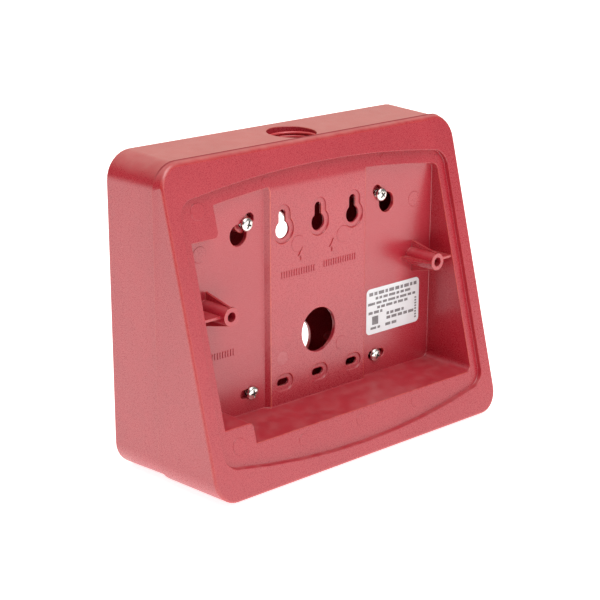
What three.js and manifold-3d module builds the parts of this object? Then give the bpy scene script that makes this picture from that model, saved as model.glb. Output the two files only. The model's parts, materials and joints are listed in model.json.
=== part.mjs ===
// Empty surface-mount housing for a wall annunciator: a back box, a wedge-shaped front housing that four
// screws hold to it, and a rating label.
// Millimetres. X points right, Y into the wall and Z up. The origin is the middle of the face on the wall.
import * as THREE from 'three';
import { mergeVertices } from 'three/addons/utils/BufferGeometryUtils.js';
import Module from 'manifold-3d';

const wasm = await Module();
wasm.setup();

// ---- Driving dimensions ----------------------------------------------------------------------------
const GAP = 0.3; // clearance between two pieces that touch
const WALL = 2.2; // every moulded wall
const CUT_OVER = 1; // how far a cutting solid runs past what it cuts
const ARC_STEPS = 4; // half the number of steps along each arc of an outline
const ROUND_STEPS = 32; // sides of a round boss or hole

// Outline of the front face, seen from the front, and the depths behind it.
const FACE_HALF_W = 94.3;
const FACE_HALF_H = 74.5;
const FACE_CORNER_R = 11.4;
const BOX_DEPTH = 31.9; // wall to seam
const LIP_TOP = 3.6; // seam to front face, at its top edge
const LIP_BOTTOM = 42.1; // and at its bottom edge
const WEDGE_FLARE = 1.15; // how far the wedge's rim stands out past the face's outline
const BOX_FLARE_SEAM = 0.25; // the same for the back box, at the seam
const BOX_FLARE_WALL = 1.7; // and at the wall

// Recess in the face, and the ledge inside it that a display module sits on.
const BEZEL_SIDE = 7.6;
const BEZEL_TOP = 10.5;
const BEZEL_BOTTOM = 6.7;
const RECESS_DEPTH = 2.4;
const RECESS_CORNER_R = 8.5;
const TOP_BOW_R = 580; // the recess and the ledge have edges that bow outwards
const BOTTOM_BOW_R = 430;
const LEDGE_SIDE = 5.1;
const LEDGE_TOP = 6.9;
const LEDGE_BOTTOM = 14.8;

// Cavity behind the ledge, down to a base plate with a raised middle panel.
const CAVITY_CORNER_R = 3.5;
const CAVITY_DRAFT = 0.033; // how much each wall leans in, per millimetre of depth
const PLATE_SETBACK = 3.7; // seam to the front of the base plate
const PANEL_RISE = 2.7;
const PANEL_HALF_W = 31.3;
const PANEL_SLOPE_W = 2;

// Blocks that fill the cavity's two left corners.
const UPPER_BLOCK_W = 15.9;
const UPPER_BLOCK_H = 18.1;
const LOWER_BLOCK_W = 16.6;
const LOWER_BLOCK_H = 9.5;
const BLOCK_CORNER_R = 2.5;

// Pillars for the display module's screws, with the ribs that brace them.
const PILLAR_INSET = 13.4; // from the cavity's side wall
const PILLAR_Z = 4.8;
const PILLAR_R = 4.35;
const PILLAR_FOOT_R = 4.7;
const PILLAR_BORE_R = 2.3;
const PILLAR_BORE_DEPTH = 12;
const PILLAR_BELOW_FACE = 0.35;
const RIB_T = 1.3;
const RIB_REACH = 8.2;
const RIB_BELOW_END = 0.8;

// Holes for fixing the housing straight to an electrical box, in the middle panel.
const KEYHOLE_PITCH = 23.02;
const KEYHOLE_LOBE_R = 4.15;
const KEYHOLE_SLOT_R = 2.1;
const KEYHOLE_LENGTH = 7.65;
const KEYHOLE_LOBE_DROP = 22.6; // cavity's top edge to the lobe's centre
const LOWER_SLOT_HALF = 1.9;
const LOWER_SLOT_R = 1.75;
const LOWER_SLOT_LIFT = 11.9; // cavity's bottom edge to the slot
const HOLE_BORDER = 2.4;
const HOLE_BORDER_DEPTH = 0.8;

// Cable opening in the middle panel.
const CABLE_R = 11.1;
const CABLE_LIFT = 33.7; // cavity's bottom edge to its centre

// Screws, with the slots in the side panels that they pass through.
const SCREW_SHANK_R = 1.75;
const SCREW_HEAD_R = 3.45;
const SCREW_HEAD_H = 2;
const SCREW_LENGTH = 12.7;
const SCREW_TIP_H = 1.5;
const DRIVE_HALF = 1.9;
const DRIVE_T = 0.9;
const DRIVE_DEPTH = 1.1;
const UPPER_SHANK_CLEAR = 1.05; // between an upper screw's shank and its slot
const LOWER_SHANK_CLEAR = 0.45; // and a lower screw's
const UPPER_SCREW_X = 44.2;
const UPPER_SCREW_DROP = 16.6; // cavity's top edge to the screws
const LOWER_SCREW_X = 41.6;
const LOWER_SCREW_LIFT = 10.6; // cavity's bottom edge to the screws
const UPPER_LOBE_R = 5.1;
const UPPER_SLOT_OUT = 4.5; // from the screw to the lobe, along X and along -Z
const UPPER_SLOT_IN = 2.3; // from the screw to the narrow end, along -X and along Z
const LOWER_SLOT_OUT = 4.5;
const LOWER_SLOT_IN = 2.3;

// Back box: bosses for the screws, conduit hub, cable openings and wall-fixing holes.
const BOSS_R = 4.6;
const CONDUIT_R = 12.1;
const CONDUIT_MOUTH_WALL = 1; // between the bore and the box's mouth
const HUB_WALL = 3.2;
const HUB_LENGTH = 17;
const REAR_ENTRY_R = 14.3;
const REAR_ENTRY_Z = 20;
const REAR_KNOCKOUT_R = 11.1;
const REAR_KNOCKOUT_X = 17.6;
const REAR_KNOCKOUT_Z = -37.4;
const WALL_KEYHOLE_INSET_X = 24;
const WALL_KEYHOLE_INSET_Z = 26;

// Rating label on the right-hand side panel.
const LABEL_T = 0.3;
const LABEL_CORNER_R = 2.5;
const LABEL_FROM_PANEL = 4;
const LABEL_FROM_WALL = 8.1;
const LABEL_OVER_SCREW = 11.1;
const LABEL_UNDER_PILLAR = 12.1;

// ---- Places that follow from them ------------------------------------------------------------------
const FACE_SLOPE = (LIP_BOTTOM - LIP_TOP) / (2 * FACE_HALF_H);
const ALONG_Y = Math.hypot(1, FACE_SLOPE); // distance along Y for each millimetre square to the face
const CAVITY_HALF_W = FACE_HALF_W - BEZEL_SIDE - LEDGE_SIDE;
const CAVITY_TOP = FACE_HALF_H - BEZEL_TOP - LEDGE_TOP;
const CAVITY_BOTTOM = BEZEL_BOTTOM + LEDGE_BOTTOM - FACE_HALF_H;
const PLATE_Y = -(BOX_DEPTH + PLATE_SETBACK);
const PANEL_Y = PLATE_Y - PANEL_RISE;
const PLATE_REAR_Y = PLATE_Y + WALL;
const PILLAR_X = CAVITY_HALF_W - PILLAR_INSET;
const LOWER_SCREW_Z = CAVITY_BOTTOM + LOWER_SCREW_LIFT;
const UPPER_SCREW_Z = CAVITY_TOP - UPPER_SCREW_DROP;

/** y of the sloping front face at height z. */
const faceY = (z) => -(BOX_DEPTH + LIP_TOP + (FACE_HALF_H - z) * FACE_SLOPE);

/** y of the ledge at height z. */
const ledgeY = (z) => faceY(z) + RECESS_DEPTH * ALONG_Y;

/** y of a plane well in front of the whole housing. */
const IN_FRONT = faceY(-FACE_HALF_H) - LIP_BOTTOM;

// ---- Making solids ---------------------------------------------------------------------------------
/** A solid from a closed geometry. */
function solid(geometry) {
  geometry.deleteAttribute('normal');
  geometry.deleteAttribute('uv');
  const merged = mergeVertices(geometry);
  const mesh = new wasm.Mesh({
    numProp: 3,
    vertProperties: new Float32Array(merged.attributes.position.array),
    triVerts: new Uint32Array(merged.index.array),
  });
  return new wasm.Manifold(mesh);
}

/** Joins a list of solids. */
const join = (solids) => solids.reduce((whole, piece) => whole.add(piece));

/** Cuts a list of solids from one. */
const cut = (whole, tools) => tools.reduce((left, tool) => left.subtract(tool), whole);

/** A named mesh from a solid. */
function mesh(name, body, colour, roughness, metalness = 0) {
  const { vertProperties, triVerts } = body.getMesh();
  const geometry = new THREE.BufferGeometry();
  geometry.setAttribute('position', new THREE.BufferAttribute(vertProperties, 3));
  geometry.setIndex(new THREE.BufferAttribute(triVerts, 1));
  geometry.computeVertexNormals();
  const made = new THREE.Mesh(geometry, new THREE.MeshStandardMaterial({ color: colour, roughness, metalness }));
  made.name = name;
  return made;
}

/**
 * Pushes an outline in the XZ plane forwards, from back to front. Each end is a y, or a function of z that
 * gives one. place moves an outline point, given the end it is on: 0 at the back and 1 at the front.
 */
function prism(shape, back, front, place = (x, z) => [x, z]) {
  const geometry = new THREE.ExtrudeGeometry(shape, { depth: 1, bevelEnabled: false, curveSegments: ARC_STEPS });
  const points = geometry.attributes.position;
  for (let i = 0; i < points.count; i += 1) {
    const end = points.getZ(i);
    const [x, z] = place(points.getX(i), points.getY(i), end);
    const y = end > 0 ? front : back;
    points.setXYZ(i, x, typeof y === 'function' ? y(z) : y, z);
  }
  return solid(geometry);
}

/** A round pin along Y. */
function pin(x, z, r, back, front, frontR = r) {
  const geometry = new THREE.CylinderGeometry(r, frontR, back - front, ROUND_STEPS);
  return solid(geometry.translate(x, (back + front) / 2, z));
}

// ---- Outlines in the XZ plane ----------------------------------------------------------------------
/** A rectangle with round corners, from its four sides. */
function roundedRect(left, right, bottom, top, r) {
  const shape = new THREE.Shape();
  shape.absarc(right - r, top - r, r, 0, Math.PI / 2);
  shape.absarc(left + r, top - r, r, Math.PI / 2, Math.PI);
  shape.absarc(left + r, bottom + r, r, Math.PI, 1.5 * Math.PI);
  shape.absarc(right - r, bottom + r, r, 1.5 * Math.PI, 2 * Math.PI);
  return shape;
}

/** A slot with round ends, from one end's centre to the other's. */
function slotShape(x1, z1, x2, z2, r) {
  const along = Math.atan2(z2 - z1, x2 - x1);
  const shape = new THREE.Shape();
  shape.absarc(x2, z2, r, along - Math.PI / 2, along + Math.PI / 2);
  shape.absarc(x1, z1, r, along + Math.PI / 2, along + 1.5 * Math.PI);
  return shape;
}

/** Where the corner of a bowed outline turns: the centre of its arc, and the angle at which the bow begins. */
function bowedCorner(halfW, edge, bowR, r) {
  const x = halfW - r;
  const rise = Math.sqrt((bowR - r) ** 2 - x ** 2);
  return { x, z: edge - bowR + rise, turn: Math.atan2(rise, x) };
}

/** Upright sides, a top edge that bows upwards and a bottom edge that is straight or bows downwards. */
function bowedRect(halfW, top, bottom, r, bottomBowR) {
  const upper = bowedCorner(halfW, top, TOP_BOW_R, r);
  const lower = bottomBowR > 0
    ? bowedCorner(halfW, -bottom, bottomBowR, r)
    : { x: halfW - r, z: -bottom - r, turn: Math.PI / 2 };
  const shape = new THREE.Shape();
  shape.absarc(upper.x, upper.z, r, 0, upper.turn);
  shape.absarc(0, top - TOP_BOW_R, TOP_BOW_R, upper.turn, Math.PI - upper.turn);
  shape.absarc(-upper.x, upper.z, r, Math.PI - upper.turn, Math.PI);
  shape.absarc(-lower.x, -lower.z, r, Math.PI, Math.PI + lower.turn);
  if (bottomBowR > 0) {
    shape.absarc(0, bottom + bottomBowR, bottomBowR, Math.PI + lower.turn, 2 * Math.PI - lower.turn);
  }
  shape.absarc(lower.x, -lower.z, r, 2 * Math.PI - lower.turn, 2 * Math.PI);
  return shape;
}

// ---- Shared forms ----------------------------------------------------------------------------------
/** The face's outline pushed forwards, standing out by one flare at the back and another at the front. */
function flaredBlock(backFlare, frontFlare, back, front) {
  const midX = FACE_HALF_W - FACE_CORNER_R;
  const midZ = FACE_HALF_H - FACE_CORNER_R;
  const place = (x, z, end) => {
    const grow = 1 + THREE.MathUtils.lerp(backFlare, frontFlare, end) / FACE_CORNER_R;
    const cornerX = Math.sign(x) * midX;
    const cornerZ = Math.sign(z) * midZ;
    return [cornerX + (x - cornerX) * grow, cornerZ + (z - cornerZ) * grow];
  };
  const face = roundedRect(-FACE_HALF_W, FACE_HALF_W, -FACE_HALF_H, FACE_HALF_H, FACE_CORNER_R);
  return prism(face, back, front, place);
}

/** The recess in the face, larger by grow all round and deeper by it. */
function recessBlock(grow) {
  const shape = bowedRect(
    FACE_HALF_W - BEZEL_SIDE + grow,
    FACE_HALF_H - BEZEL_TOP + grow,
    BEZEL_BOTTOM - FACE_HALF_H - grow,
    RECESS_CORNER_R + grow,
    BOTTOM_BOW_R,
  );
  return prism(shape, (z) => ledgeY(z) + grow * ALONG_Y, IN_FRONT);
}

/** The whole cavity with its leaning walls, larger by grow all round, back to the plane y = back. */
function cavityBlock(grow, back) {
  const shape = bowedRect(
    CAVITY_HALF_W + grow,
    CAVITY_TOP + grow,
    CAVITY_BOTTOM - grow,
    CAVITY_CORNER_R + grow,
    0,
  );
  const place = (x, z, end) => {
    const behindLedge = (end > 0 ? IN_FRONT : back) - ledgeY(z);
    const lean = behindLedge * CAVITY_DRAFT;
    return [x * (1 - lean / CAVITY_HALF_W), z * (1 - lean / CAVITY_TOP)];
  };
  return prism(shape, back, IN_FRONT, place);
}

/** The blocks in the cavity's left corners, smaller by inset on their open sides. */
function cornerBlocks(inset) {
  const left = -FACE_HALF_W;
  const r = BLOCK_CORNER_R;
  const upper = roundedRect(
    left, UPPER_BLOCK_W - CAVITY_HALF_W - inset, CAVITY_TOP - UPPER_BLOCK_H + inset, FACE_HALF_H, r);
  const lower = roundedRect(
    left, LOWER_BLOCK_W - CAVITY_HALF_W - inset, -FACE_HALF_H, CAVITY_BOTTOM + LOWER_BLOCK_H - inset, r);
  return join([prism(upper, 0, IN_FRONT), prism(lower, 0, IN_FRONT)]);
}

/** The raised middle panel's form: a flat ridge of this half width at its top, from y = back to y = front. */
function panelRidge(halfW, back, front) {
  const slope = ((back - front) * PANEL_SLOPE_W) / PANEL_RISE;
  const ridge = roundedRect(-halfW, halfW, -FACE_HALF_H, FACE_HALF_H, BLOCK_CORNER_R);
  return prism(ridge, back, front, (x, z, end) => [x + Math.sign(x) * slope * (1 - end), z]);
}

/** A keyhole through the middle panel or the rear wall, larger by grow. */
function keyhole(x, z, back, front, grow = 0) {
  return join([
    pin(x, z, KEYHOLE_LOBE_R + grow, back, front),
    prism(slotShape(x, z, x, z + KEYHOLE_LENGTH, KEYHOLE_SLOT_R + grow), back, front),
  ]);
}

// ---- Wedge housing ---------------------------------------------------------------------------------
/** The moulded skin: the outer form, with the recess and the cavity cut in from the front. */
function wedgeSkin() {
  const rim = -(BOX_DEPTH + GAP / 2);
  const outer = flaredBlock(WEDGE_FLARE, 0, rim, faceY);
  const cavity = cut(cavityBlock(0, PLATE_Y), [
    cornerBlocks(0),
    panelRidge(PANEL_HALF_W, PLATE_Y + CUT_OVER, PANEL_Y),
  ]);

  const inside = flaredBlock(WEDGE_FLARE - WALL, -WALL, rim + CUT_OVER, (z) => faceY(z) + WALL * ALONG_Y);
  const cavityWalls = cut(cavityBlock(WALL, PLATE_REAR_Y), [
    cornerBlocks(WALL),
    panelRidge(PANEL_HALF_W - WALL / 2, PLATE_REAR_Y + CUT_OVER, PANEL_Y + WALL),
  ]);
  const hollow = cut(inside, [recessBlock(WALL), cavityWalls]);
  return cut(outer, [recessBlock(0), cavity, hollow]);
}

/** A thin upright rib on the base plate, from a pillar's axis outwards at this angle in the XZ plane. */
function rib(x, z, angle, footReach, endReach, height) {
  const profile = new THREE.Shape([
    new THREE.Vector2(0, -WALL / 2),
    new THREE.Vector2(footReach, -WALL / 2),
    new THREE.Vector2(footReach, 0),
    new THREE.Vector2(endReach, height),
    new THREE.Vector2(0, height),
  ]);
  const geometry = new THREE.ExtrudeGeometry(profile, { depth: RIB_T, bevelEnabled: false });
  const outwards = new THREE.Vector3(Math.cos(angle), 0, Math.sin(angle));
  const forwards = new THREE.Vector3(0, -1, 0);
  const across = new THREE.Vector3().crossVectors(outwards, forwards);
  const turn = new THREE.Matrix4().makeBasis(outwards, forwards, across).setPosition(x, PLATE_Y, z);
  return solid(geometry.translate(0, 0, -RIB_T / 2).applyMatrix4(turn));
}

/** One pillar with its three bracing ribs and the web that ties it to the cavity's side wall. */
function pillar(side) {
  const x = side * PILLAR_X;
  const end = faceY(PILLAR_Z) + PILLAR_BELOW_FACE;
  const ribHeight = PLATE_Y - end - RIB_BELOW_END;
  const webHeight = PLATE_Y - ledgeY(PILLAR_Z) - RIB_BELOW_END;
  const wards = { out: side > 0 ? 0 : Math.PI, in: side > 0 ? Math.PI : 0, up: Math.PI / 2, down: -Math.PI / 2 };
  const webReach = PILLAR_INSET + WALL / 2;
  return join([
    pin(x, PILLAR_Z, PILLAR_FOOT_R, PLATE_Y + WALL / 2, end, PILLAR_R),
    rib(x, PILLAR_Z, wards.out, webReach, webReach, webHeight),
    ...[wards.in, wards.up, wards.down].map((ward) => rib(x, PILLAR_Z, ward, RIB_REACH, PILLAR_R, ribHeight)),
  ]);
}

/** The blind hole in a pillar's end. */
function pillarBore(side) {
  const end = faceY(PILLAR_Z) + PILLAR_BELOW_FACE;
  return pin(side * PILLAR_X, PILLAR_Z, PILLAR_BORE_R, end + PILLAR_BORE_DEPTH, end - CUT_OVER);
}

/** Keyholes, slots and the cable opening in the middle panel. */
function panelHoles() {
  const back = PANEL_Y + WALL + CUT_OVER;
  const front = PANEL_Y - CUT_OVER;
  const borderBack = PANEL_Y + HOLE_BORDER_DEPTH;
  const lobeZ = CAVITY_TOP - KEYHOLE_LOBE_DROP;
  const slotZ = CAVITY_BOTTOM + LOWER_SLOT_LIFT;
  const lowerSlot = (x, r) => slotShape(x - LOWER_SLOT_HALF, slotZ, x + LOWER_SLOT_HALF, slotZ, r);
  return [-KEYHOLE_PITCH, 0, KEYHOLE_PITCH].flatMap((x) => [
    keyhole(x, lobeZ, back, front),
    keyhole(x, lobeZ, borderBack, front, HOLE_BORDER),
    prism(lowerSlot(x, LOWER_SLOT_R), back, front),
    prism(lowerSlot(x, LOWER_SLOT_R + HOLE_BORDER), borderBack, front),
  ]).concat(pin(0, CAVITY_BOTTOM + CABLE_LIFT, CABLE_R, back, front));
}

/** The slots for the screws in one side panel: a slanting keyhole above and a level slot below. */
function screwSlots(side) {
  const back = PLATE_REAR_Y + CUT_OVER;
  const front = PLATE_Y - CUT_OVER;
  const lobe = { x: side * (UPPER_SCREW_X + UPPER_SLOT_OUT), z: UPPER_SCREW_Z - UPPER_SLOT_OUT };
  const narrow = { x: side * (UPPER_SCREW_X - UPPER_SLOT_IN), z: UPPER_SCREW_Z + UPPER_SLOT_IN };
  const slotFrom = side * (LOWER_SCREW_X - LOWER_SLOT_IN);
  const slotTo = side * (LOWER_SCREW_X + LOWER_SLOT_OUT);
  const upperR = SCREW_SHANK_R + UPPER_SHANK_CLEAR;
  const lowerR = SCREW_SHANK_R + LOWER_SHANK_CLEAR;
  return [
    pin(lobe.x, lobe.z, UPPER_LOBE_R, back, front),
    prism(slotShape(lobe.x, lobe.z, narrow.x, narrow.z, upperR), back, front),
    prism(slotShape(slotFrom, LOWER_SCREW_Z, slotTo, LOWER_SCREW_Z, lowerR), back, front),
  ];
}

/** The whole wedge housing. */
function wedgeHousing() {
  const body = join([wedgeSkin(), pillar(-1), pillar(1)]);
  return cut(body, [...panelHoles(), ...screwSlots(-1), ...screwSlots(1), pillarBore(-1), pillarBore(1)]);
}

// ---- Back box --------------------------------------------------------------------------------------
/** The four places where a screw goes in. */
const screwPlaces = [
  { name: 'screw_upper_left', x: -UPPER_SCREW_X, z: UPPER_SCREW_Z },
  { name: 'screw_upper_right', x: UPPER_SCREW_X, z: UPPER_SCREW_Z },
  { name: 'screw_lower_left', x: -LOWER_SCREW_X, z: LOWER_SCREW_Z },
  { name: 'screw_lower_right', x: LOWER_SCREW_X, z: LOWER_SCREW_Z },
];

/** The conduit hub's form: an upright round bar of this radius, down from above the box's top. */
function conduitBar(r, depth) {
  const y = -(BOX_DEPTH - CONDUIT_MOUTH_WALL - CONDUIT_R);
  const top = FACE_HALF_H + BOX_FLARE_WALL + CUT_OVER;
  const length = top - (FACE_HALF_H - depth);
  const geometry = new THREE.CylinderGeometry(r, r, length, 2 * ROUND_STEPS).rotateX(Math.PI / 2);
  return solid(geometry.translate(0, y, top - length / 2));
}

/** The openings in the rear wall: cable entries, and a keyhole near each corner for fixing it to the wall. */
function rearOpenings() {
  const back = CUT_OVER;
  const front = -WALL - CUT_OVER;
  const entries = [
    pin(0, REAR_ENTRY_Z, REAR_ENTRY_R, back, front),
    pin(-REAR_KNOCKOUT_X, REAR_KNOCKOUT_Z, REAR_KNOCKOUT_R, back, front),
    pin(REAR_KNOCKOUT_X, REAR_KNOCKOUT_Z, REAR_KNOCKOUT_R, back, front),
  ];
  const x = FACE_HALF_W - WALL_KEYHOLE_INSET_X;
  const z = FACE_HALF_H - WALL_KEYHOLE_INSET_Z;
  const corners = [[-x, -z], [x, -z], [-x, z], [x, z]];
  return entries.concat(corners.map(([cx, cz]) => keyhole(cx, cz, back, front)));
}

/** The whole back box. */
function backBox() {
  const mouth = -(BOX_DEPTH - GAP / 2);
  const outer = flaredBlock(BOX_FLARE_WALL, BOX_FLARE_SEAM, 0, mouth);
  const inside = flaredBlock(BOX_FLARE_WALL - WALL, BOX_FLARE_SEAM - WALL, -WALL, mouth - CUT_OVER);
  const hub = conduitBar(CONDUIT_R + HUB_WALL, HUB_LENGTH).intersect(outer);
  const bossEnd = PLATE_REAR_Y + GAP;
  const bosses = screwPlaces.map(({ x, z }) => pin(x, z, BOSS_R, -WALL / 2, bossEnd));
  const pilotR = SCREW_SHANK_R + GAP;
  const pilotEnd = PLATE_Y + SCREW_LENGTH + CUT_OVER;
  const pilots = screwPlaces.map(({ x, z }) => pin(x, z, pilotR, pilotEnd, bossEnd - CUT_OVER));
  const body = join([outer.subtract(inside), hub, ...bosses]);
  return cut(body, [conduitBar(CONDUIT_R, HUB_LENGTH + CUT_OVER), ...pilots, ...rearOpenings()]);
}

// ---- Screws and label ------------------------------------------------------------------------------
/** One pan-head screw along Y, its head just clear of the base plate. */
function screw({ x, z }) {
  const seat = PLATE_Y - GAP;
  const tip = seat + SCREW_LENGTH;
  const profile = [
    new THREE.Vector2(0, seat - SCREW_HEAD_H),
    new THREE.Vector2(SCREW_HEAD_R * 0.55, seat - SCREW_HEAD_H * 0.94),
    new THREE.Vector2(SCREW_HEAD_R * 0.85, seat - SCREW_HEAD_H * 0.74),
    new THREE.Vector2(SCREW_HEAD_R, seat - SCREW_HEAD_H * 0.4),
    new THREE.Vector2(SCREW_HEAD_R, seat),
    new THREE.Vector2(SCREW_SHANK_R, seat),
    new THREE.Vector2(SCREW_SHANK_R, tip - SCREW_TIP_H),
    new THREE.Vector2(0, tip),
  ];
  const blank = solid(new THREE.LatheGeometry(profile, ROUND_STEPS).translate(x, 0, z));
  const driveY = seat - SCREW_HEAD_H + DRIVE_DEPTH / 2 - CUT_OVER / 2;
  const blade = (w, h) => solid(new THREE.BoxGeometry(w, DRIVE_DEPTH + CUT_OVER, h).translate(x, driveY, z));
  return cut(blank, [blade(2 * DRIVE_HALF, DRIVE_T), blade(DRIVE_T, 2 * DRIVE_HALF)]);
}

/** The rating label, just clear of the right-hand side panel. */
function ratingLabel() {
  const shape = roundedRect(
    PANEL_HALF_W + LABEL_FROM_PANEL,
    CAVITY_HALF_W - LABEL_FROM_WALL,
    LOWER_SCREW_Z + LABEL_OVER_SCREW,
    PILLAR_Z - LABEL_UNDER_PILLAR,
    LABEL_CORNER_R,
  );
  return prism(shape, PLATE_Y - GAP, PLATE_Y - GAP - LABEL_T);
}

// ---- The assembly ----------------------------------------------------------------------------------
const RED = 0xc2303a;
const housing = new THREE.Group();
housing.add(mesh('back_box', backBox(), RED, 0.45));
housing.add(mesh('wedge_housing', wedgeHousing(), RED, 0.42));
housing.add(mesh('rating_label', ratingLabel(), 0xece9e4, 0.6));
screwPlaces.forEach((place) => housing.add(mesh(place.name, screw(place), 0xcfd0cf, 0.25, 1)));

export default housing;
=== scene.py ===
"""The looks of an empty surface-mount annunciator housing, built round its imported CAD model.

Metres. X points right, Y into the wall and Z up, as in the frame.
"""

import json
import logging
import math
import random
from collections.abc import Callable
from dataclasses import dataclass
from enum import Enum

import bmesh
import bpy
from mathutils import Matrix, Vector


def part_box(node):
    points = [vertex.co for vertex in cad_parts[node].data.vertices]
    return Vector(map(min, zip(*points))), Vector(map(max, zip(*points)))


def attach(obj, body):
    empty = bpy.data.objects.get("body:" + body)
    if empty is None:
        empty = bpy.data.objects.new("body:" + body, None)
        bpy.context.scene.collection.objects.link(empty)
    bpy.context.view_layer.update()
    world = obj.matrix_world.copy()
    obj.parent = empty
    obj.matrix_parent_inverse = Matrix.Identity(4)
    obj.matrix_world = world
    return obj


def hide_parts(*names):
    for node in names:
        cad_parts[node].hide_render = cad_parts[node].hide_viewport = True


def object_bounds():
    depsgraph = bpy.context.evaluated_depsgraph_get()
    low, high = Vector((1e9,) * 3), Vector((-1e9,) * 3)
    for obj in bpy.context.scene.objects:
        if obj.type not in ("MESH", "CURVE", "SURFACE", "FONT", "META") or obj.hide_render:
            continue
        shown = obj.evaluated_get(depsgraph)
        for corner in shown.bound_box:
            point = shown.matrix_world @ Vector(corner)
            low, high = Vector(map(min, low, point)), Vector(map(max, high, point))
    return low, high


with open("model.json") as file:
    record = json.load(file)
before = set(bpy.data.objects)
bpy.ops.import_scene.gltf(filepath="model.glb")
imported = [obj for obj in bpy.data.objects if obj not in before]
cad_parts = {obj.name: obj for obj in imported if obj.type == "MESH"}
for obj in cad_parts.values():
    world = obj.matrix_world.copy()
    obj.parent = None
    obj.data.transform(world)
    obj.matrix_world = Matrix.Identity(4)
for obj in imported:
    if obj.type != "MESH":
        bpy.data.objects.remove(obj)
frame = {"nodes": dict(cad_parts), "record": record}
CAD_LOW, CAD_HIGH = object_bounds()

LOG = logging.getLogger("annunciator_housing")
BODY = "root"
MM = 0.001
EDGE_BAND = "edge_band"  # face attribute: 1 where an edge was eased, 0 elsewhere
RECESS = "recess"  # face attribute: 1 inside a screw's drive
FULL = (0.0, 1.0)  # a mask's whole range
INVERTED = (1.0, 0.0)  # the same range the other way round
MERGE_REACH = 0.02 * MM  # points this close in a CAD copy are one point
WELD_REACH = 0.004 * MM  # points this close in a finished form are one point
TOUCH = 0.05 * MM  # a point this close to a plane lies on it
Colour = tuple[float, float, float]
Place = tuple[float, float, float]
Range = tuple[float, float]
NodeInput = object  # an output to join, or a plain value


class Slot(Enum):
    """The record's material slots."""

    PLASTIC = "housing_plastic"
    STEEL = "screw_steel"
    FILM = "label_film"


# ---- The frame's own sizes -----------------------------------------------------------------------------
@dataclass(frozen=True)
class Plane:
    """A plane that faces the viewer, upright or leaning back, as the line y = y0 + z * rise.

    Attributes:
        y0: y of the plane at z = 0.
        rise: how far the plane goes back for each metre up.
    """

    y0: float
    rise: float = 0.0

    @property
    def along_y(self) -> float:
        """Distance along Y for each metre square to the plane."""
        return math.hypot(1.0, self.rise)

    @property
    def facing(self) -> Vector:
        """The unit vector square to the plane, out of the material."""
        return Vector((0.0, -1.0, self.rise)).normalized()

    def point(self, x: float, z: float) -> Vector:
        """The point of the plane at this x and z."""
        return Vector((x, self.y0 + z * self.rise, z))

    def deeper(self, depth: float) -> "Plane":
        """A parallel plane, this far behind this one."""
        return Plane(self.y0 + depth * self.along_y, self.rise)

    def distance(self, point: Vector) -> float:
        """How far a point lies from the plane."""
        return abs((point - self.point(0.0, 0.0)).dot(self.facing))


@dataclass(frozen=True)
class HousingSizes:
    """Sizes that the housing is modelled to, beside those that its boxes give.

    Attributes:
        gap: clearance between two pieces that touch.
        rim_flare: how far the wedge's rim stands out past the face's outline.
        lip_top: seam to front face, at its top edge.
        recess_depth: face to ledge, square to them.
        panel_rise: side panels to the middle panel.
        pillar_inset: the housing's side to a pillar's axis.
        pillar_z: height of the pillars' axes.
        brace_reach: how far the pillars' ribs reach.
        hub_length: length of the conduit hub.
        conduit_r: radius of the conduit's bore.
    """

    gap: float = 0.3 * MM
    rim_flare: float = 1.15 * MM
    lip_top: float = 3.6 * MM
    recess_depth: float = 2.4 * MM
    panel_rise: float = 2.7 * MM
    pillar_inset: float = 27.25 * MM
    pillar_z: float = 4.8 * MM
    brace_reach: float = 8.4 * MM
    hub_length: float = 17 * MM
    conduit_r: float = 12.1 * MM


SIZES = HousingSizes()
WEDGE_LOW, WEDGE_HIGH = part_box("wedge_housing")
LABEL_LOW, LABEL_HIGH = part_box("rating_label")
FACE_TOP_Z = WEDGE_HIGH.z - SIZES.rim_flare
SEAM_Y = WEDGE_HIGH.y + SIZES.gap / 2
FACE_TOP_Y = SEAM_Y - SIZES.lip_top
FACE_RISE = (FACE_TOP_Y - WEDGE_LOW.y) / (2 * FACE_TOP_Z)
FACE = Plane(FACE_TOP_Y - FACE_TOP_Z * FACE_RISE, FACE_RISE)
LEDGE = FACE.deeper(SIZES.recess_depth)
SIDE_PANEL = Plane(LABEL_HIGH.y + SIZES.gap)
MIDDLE_PANEL = SIDE_PANEL.deeper(-SIZES.panel_rise)


def opening_centre(name: str) -> Vector:
    """The middle of one of the record's openings.

    Args:
        name: the opening's name.

    Returns:
        Its middle.
    """
    openings = frame["record"]["physics"]["openings"]
    low, high = next(entry["box_m"] for entry in openings if entry["name"] == name)
    return (Vector(low) + Vector(high)) / 2


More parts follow.
